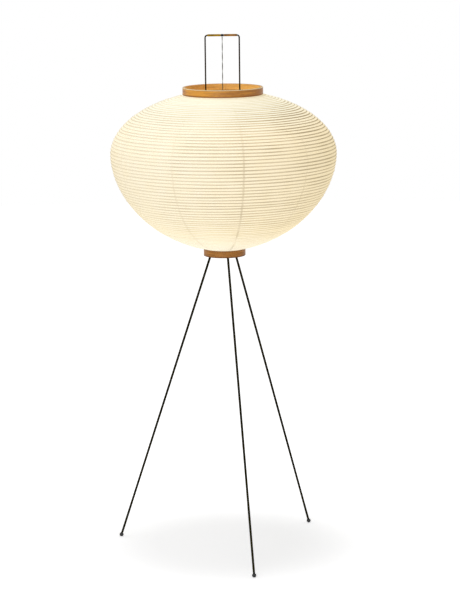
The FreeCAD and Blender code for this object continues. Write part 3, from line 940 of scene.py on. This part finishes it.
        # The rows run two turns past each end of the outline: one turn makes the hem, and the rest
        # falls on its edge and is welded.
        spans = self.turns + 3
        outer_last = spans * self.outer_rows
        last = outer_last + spans * self.inner_rows + 2
        grid_size = {"Vertices X": web.plus(given["Columns"], 1.0), "Vertices Y": last + 1}
        grid = web.out("GeometryNodeMeshGrid", grid_size)
        number = grower.number()
        column = web.math("FLOOR", web.over(web.plus(number, 0.5), last + 1.0))
        row = web.minus(number, web.times(column, last + 1.0))
        around = web.over(column, given["Columns"])
        below = web.math("GREATER_THAN", row, outer_last + 0.5)
        inner = web.times(below, web.math("LESS_THAN", row, last - 0.5))
        outer_row = web.math("MODULO", row, float(last))
        outer_start = web.minus(web.over(outer_row, float(self.outer_rows)), 2.0)
        inner_start = web.over(web.minus(row, outer_last + 1.0), float(self.inner_rows))
        inner_start = web.minus(web.plus(given["Turns"], 1.0), inner_start)
        either = {0: inner, 1: outer_start, 2: inner_start}
        start = web.out("GeometryNodeSwitch", either, input_type="FLOAT")
        # The way round and the turns are kept on the points, because the map is stored on corners.
        kept = web.node("GeometryNodeCaptureAttribute", domain="POINT")
        kept.capture_items.new("VECTOR", "Spot")
        web.feed(kept.inputs[0], grid)
        web.feed(kept.inputs[1], web.join(around, web.plus(start, around), inner))
        around, turns, inner = web.split(kept.outputs[1])
        radius, height, out, up = self.spot(grower, turns, around)
        tops = web.clamped(web.times(turns, -1.0))
        bottoms = web.clamped(web.minus(turns, given["Turns"]))
        hemmed = web.plus(tops, bottoms)
        plain = web.minus(1.0, hemmed)
        # Between two turns the paper sags inwards in a parabola, but not in the hems.
        share = web.math("FRACT", turns)
        sag = web.times(web.times(share, web.minus(1.0, share)), web.times(given["Sag"], 4.0))
        sag = web.times(sag, web.math("LESS_THAN", hemmed, 1e-6))
        depth = web.plus(sag, web.times(inner, given["Wall"]))
        radius = web.minus(radius, web.times(web.plus(web.times(out, plain), hemmed), depth))
        height = web.minus(height, web.times(web.times(up, plain), depth))
        height = web.plus(height, web.times(web.minus(tops, bottoms), given["Hem"]))
        moved = {0: kept.outputs[0], "Position": self.round_axis(web, around, radius, height)}
        shaped = web.out("GeometryNodeSetPosition", moved)
        named = {0: shaped, "Name": "UVMap"}
        mapped = web.node("GeometryNodeStoreNamedAttribute", named, data_type="FLOAT2", domain="CORNER")
        web.feed(mapped.inputs["Value"], web.join(around, turns, 0.0))
        welded = {0: mapped.outputs[0], "Distance": self.weld}
        joined = web.out("GeometryNodeMergeByDistance", welded)
        return grower.grow(web.out("GeometryNodeFlipFaces", {0: joined}))

    def build_strip(self) -> bpy.types.Object:
        """Grow the bamboo strip, wound from collar to collar in one length.

        Returns:
            The piece.
        """
        sizes = self.sizes(BAMBOO)
        sizes.update({"Strip": self.strip, "Depth": self.wall + self.strip / 2.0 + self.strip_gap})
        grower = Grower("wound_bamboo", sizes)
        web, given = grower.web, grower.given
        count = (self.turns - 1) * self.strip_points + 1
        turns = web.plus(web.over(grower.number(), float(self.strip_points)), 0.5)
        around = web.math("FRACT", turns)
        radius, height, out, up = self.spot(grower, turns, around)
        radius = web.minus(radius, web.times(out, given["Depth"]))
        height = web.minus(height, web.times(up, given["Depth"]))
        wound = grower.line(count, self.round_axis(web, around, radius, height))
        level = web.out("GeometryNodeSetCurveNormal", {0: wound}, mode="Z_UP")
        return grower.grow(grower.sweep(level, given["Strip"], 4))

    def build(self) -> None:
        """Build both pieces, in place of their solids."""
        for piece, finish, node in (
            (self.build_paper(), PAPER, "paper_shade"),
            (self.build_strip(), BAMBOO, "bamboo_spiral"),
        ):
            settle(piece, Body.STAND, [node])
            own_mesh(piece)


# ---- the collars ----
@dataclass
class Collars:
    """The two bentwood collars with their inner hoops."""

    # How deep the painted rim light runs, and the span of the painted shade at the foot.
    rim_light: float = 0.0016
    foot_shade: Range = (0.001, 0.0042)

    def finish(
        self, node: str, name: str, grain: Tuple[Colour, Colour], edge: Colour, side_shade: float
    ) -> Finish:
        """Make a collar's finish, with its painted upper edge and its painted shade at the foot at the
        collar's own height.

        Args:
            node: the collar's name in the frame.
            name: the finish's name.
            grain: the lighter and the darker grain.
            edge: the colour painted along the upper edge, a highlight on the top collar and shade on the
                bottom one.
            side_shade: how much painted shade darkens the grain towards +X, against -X; below 0 it
                paints light there.

        Returns:
            The finish.
        """
        low, high = (corner.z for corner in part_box(node))
        rim = (high - self.rim_light, high - self.rim_light * 0.5)
        foot = (low + self.foot_shade[0], low + self.foot_shade[1])
        return BentWoodFinish(name, *grain, edge, rim, foot, side_shade)

    def build(self) -> None:
        """Dress the collars, the hoops and the wire across the top one."""
        grain = ((0.91, 0.415, 0.066), (0.49, 0.2, 0.05))
        top = self.finish("top_collar", "collar_wood", grain, (1.0, 0.86, 0.52), 0.9)
        dress(["top_collar"], top)
        # The bottom collar's grain is painted darker than the top one's, as painted shade under the
        # paper.
        grain = ((0.515, 0.22, 0.048), (0.33, 0.133, 0.028))
        bottom = self.finish("bottom_collar", "bottom_collar_wood", grain, (0.26, 0.11, 0.03), 0.25)
        dress(["bottom_collar"], bottom)
        # The hoops' grain is painted lighter, as painted light on the inner wall.
        grain = ((1.0, 0.6, 0.185), (0.68, 0.345, 0.105))
        hoop = self.finish("top_hoop", "hoop_wood", grain, (0.85, 0.5, 0.2), -0.8)
        dress(["top_hoop", "bottom_hoop"], hoop)
        dress(["top_spider"], SPIDER_WIRE)


# ---- the stand ----
@dataclass
class Stand:
    """The legs and their feet, the hub, and the bow that stretches the shade."""

    legs: Tuple[str, ...] = ("front", "right", "left")

    def build(self) -> None:
        """Dress the stand's solids."""
        for leg in self.legs:
            dress([leg + "_leg", leg + "_leg_socket"], BLACK_STEEL)
            dress([leg + "_foot"], FOOT_RUBBER)
        dress(["hub_plate", "bow_socket_left", "bow_socket_right"], BLACK_STEEL)
        dress(["bow"], BOW_STEEL)
        # Painted reflection of the bulb's warm light on the crossbar, lighter on the left and darker on
        # the right.
        dress(["crossbar_spacer_left"], LIT_SPACER_BRASS)
        dress(["crossbar_spacer_right"], SHADED_SPACER_BRASS)
        dress(["leg_nuts", "hub_nut_upper", "hub_nut_lower", "bow_screws", "stem"], ZINC_STEEL)
        dress(["cord_gland"], HOLDER_PLASTIC)


# ---- the hanger ----
@dataclass
class Hanger:
    """The twisted wire that holds the top collar up, and its windings round the crossbar."""

    strand: float = 0.00105
    strand_sides: int = 8
    lay: float = 0.046
    hook_bend: float = 0.0024
    hook_tip: float = 0.004
    hook_points: int = 12
    step: float = 0.0005
    windings: int = 5
    winding_wire: float = 0.001
    winding_sides: int = 10
    winding_points: int = 20
    winding_gap: float = 0.0001

    def route(self) -> List[Vector]:
        """Give the wire's middle line: down from the crossbar and round the hook.

        Returns:
            Its points.
        """
        low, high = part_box("hanger_wire")
        bend = low.z + self.strand + self.hook_bend
        points = [Vector((0.0, 0.0, high.z)), Vector((0.0, 0.0, bend))]
        for k in range(1, self.hook_points + 1):
            angle = math.pi * k / self.hook_points
            y = self.hook_bend * (math.cos(angle) - 1.0)
            points.append(Vector((0.0, y, bend - self.hook_bend * math.sin(angle))))
        points.append(points[-1] + Vector((0.0, 0.0, self.hook_tip)))
        return points

    def build_wire(self) -> bpy.types.Object:
        """Grow the two strands, twisted round their middle line.

        Returns:
            The piece.
        """
        sizes = {"Strand": self.strand, "Lay": self.lay, "Step": self.step}
        grower = Grower("twisted_wire", {**sizes, "Material": HANGER_STEEL.material()})
        web, given = grower.web, grower.given
        points = self.route()
        number = grower.number()
        place: Value = tuple(points[0])
        for k, point in enumerate(points[1:], 1):
            choice = {0: web.math("GREATER_THAN", number, k - 0.5), 1: place, 2: tuple(point)}
            place = web.out("GeometryNodeSwitch", choice, input_type="VECTOR")
        middle = grower.line(len(points), place)
        length = web.out("GeometryNodeCurveLength", {0: middle})
        divided = {"Curve": middle, "Count": web.over(length, given["Step"])}
        middle = web.out("GeometryNodeResampleCurve", divided)
        travelled = web.node("GeometryNodeSplineParameter").outputs["Length"]
        tangent = web.out("GeometryNodeInputTangent")
        side = web.vector("CROSS_PRODUCT", tangent, (1.0, 0.0, 0.0))
        twist = web.times(web.over(travelled, given["Lay"]), math.tau)
        together = web.node("GeometryNodeJoinGeometry")
        for start in (0.0, math.pi):
            angle = web.plus(twist, start)
            across = web.scaled((1.0, 0.0, 0.0), web.math("COSINE", angle))
            offset = web.vector("ADD", across, web.scaled(side, web.math("SINE", angle)))
            offset = web.scaled(offset, web.times(given["Strand"], 0.5))
            strand = web.out("GeometryNodeSetPosition", {0: middle, "Offset": offset})
            web.feed(together.inputs[0], grower.sweep(strand, given["Strand"], self.strand_sides))
        return grower.grow(together.outputs[0])

    def build_winding(self) -> bpy.types.Object:
        """Grow the dark wire wound round the crossbar.

        Returns:
            The piece.
        """
        low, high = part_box("hanger_sleeve")
        bar_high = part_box("bow")[1]
        middle = (low.z + high.z) / 2.0
        sizes = {
            "Wire": self.winding_wire,
            "Coil": bar_high.z - middle + self.winding_wire / 2.0 + self.winding_gap,
            "Windings": self.windings,
            "Middle": middle,
            "Material": SLEEVE_WIRE.material(),
        }
        grower = Grower("crossbar_winding", sizes)
        web, given = grower.web, grower.given
        turn = web.over(grower.number(), float(self.winding_points))
        angle = web.times(turn, math.tau)
        x = web.times(web.minus(turn, web.times(given["Windings"], 0.5)), given["Wire"])
        y = web.times(given["Coil"], web.math("SINE", angle))
        z = web.minus(given["Middle"], web.times(given["Coil"], web.math("COSINE", angle)))
        count = web.plus(web.times(given["Windings"], float(self.winding_points)), 1.0)
        coil = grower.line(count, web.join(x, y, z))
        return grower.grow(grower.sweep(coil, given["Wire"], self.winding_sides))

    def build(self) -> None:
        """Build both pieces, in place of their solids."""
        settle(self.build_wire(), Body.HANGER, ["hanger_wire"])
        settle(self.build_winding(), Body.HANGER, ["hanger_sleeve"])


# ---- the light ----
@dataclass
class LightSource:
    """The lampholder and the bulb."""

    plastic: Tuple[str, ...] = ("holder_cap", "holder_body", "holder_ring")

    def build(self) -> None:
        """Dress the solids of the lampholder and the bulb."""
        dress(self.plastic, HOLDER_PLASTIC)
        dress(["holder_insert"], CERAMIC)
        dress(["screw_shell", "centre_contact"], BRASS)
        dress(["bulb_cap"], CAP_ALUMINIUM)
        dress(["bulb_glass"], BULB_GLASS)
        dress(["bulb_contact"], CAP_BUTTON)


# ---- the studio ----
@dataclass(frozen=True)
class SoftLight:
    """A large square lamp that faces a point."""

    name: str
    place: Spot
    side: float
    watts: float
    colour: Colour = (1.0, 1.0, 1.0)
    target: Spot = (0.0, 0.0, 0.85)

    def build(self) -> None:
        """Hang the lamp."""
        lamp = bpy.data.lights.new(self.name, "AREA")
        lamp.shape = "SQUARE"
        lamp.size = self.side
        lamp.energy = self.watts
        lamp.color = self.colour
        held = bpy.data.objects.new(self.name, lamp)
        bpy.context.scene.collection.objects.link(held)
        held.location = self.place
        held.rotation_mode = "QUATERNION"
        held.rotation_quaternion = (Vector(self.target) - Vector(self.place)).to_track_quat("-Z", "Y")


@dataclass
class Studio:
    """The floor, the lamps, the world and the camera."""

    camera_place: Spot = (0.01108, -5.2815, 1.5683)
    camera_pitch: float = 0.18442
    camera_roll: float = -0.0114
    lens: float = 133.52
    sensor: float = 36.0
    clip: Range = (0.1, 100.0)
    world: float = 0.35
    floor_radius: float = 6.0
    floor_sides: int = 96

    def build_camera(self) -> None:
        """Set up the camera at the photograph's viewing angle."""
        seen = bpy.data.cameras.new("viewpoint")
        seen.lens = self.lens
        seen.sensor_width = self.sensor
        seen.sensor_fit = "AUTO"
        seen.clip_start, seen.clip_end = self.clip
        held = bpy.data.objects.new("viewpoint", seen)
        bpy.context.scene.collection.objects.link(held)
        held.matrix_world = (
            Matrix.Translation(self.camera_place)
            @ Matrix.Rotation(math.pi / 2.0 - self.camera_pitch, 4, "X")
            @ Matrix.Rotation(self.camera_roll, 4, "Z")
        )
        bpy.context.scene.camera = held

    def build_world(self) -> None:
        """Set up an even light all round, which the camera sees as white."""
        world = bpy.data.worlds.new("studio")
        world.use_nodes = True
        web = Web(world.node_tree)
        strength = web.plus(self.world, web.times(web.seen(), 1.0 - self.world))
        light = {"Color": (1.0, 1.0, 1.0, 1.0), "Strength": strength}
        background = web.out("ShaderNodeBackground", light)
        web.node("ShaderNodeOutputWorld", {"Surface": background})
        bpy.context.scene.world = world

    def build_floor(self) -> None:
        """Lay a round floor."""
        ring = [math.tau * k / self.floor_sides for k in range(self.floor_sides)]
        corners = [(self.floor_radius * math.cos(a), self.floor_radius * math.sin(a), 0.0) for a in ring]
        mesh = bpy.data.meshes.new("floor")
        mesh.from_pydata(corners, [], [range(self.floor_sides)])
        floor = bpy.data.objects.new("floor", mesh)
        bpy.context.scene.collection.objects.link(floor)
        mesh.materials.append(PALE_FLOOR.material())

    def build(self) -> None:
        """Build the whole studio."""
        self.build_camera()
        self.build_world()
        self.build_floor()
        SoftLight("key", (-1.05, -4.2, 1.8), side=2.0, watts=41.5, colour=(0.925, 1.0, 1.16)).build()
        SoftLight("overhead", (-0.5, 0.1, 3.2), side=2.2, watts=19.0).build()
        bpy.context.scene.view_settings.view_transform = "Standard"


def main() -> None:
    """Build the lamp and its studio."""
    logging.basicConfig(level=logging.INFO, format="%(name)s: %(message)s")
    for part in (Studio(), Shade(), Collars(), Stand(), Hanger(), LightSource()):
        part.build()
        log.info("%s built", type(part).__name__)


if __name__ == "__main__":
    main()
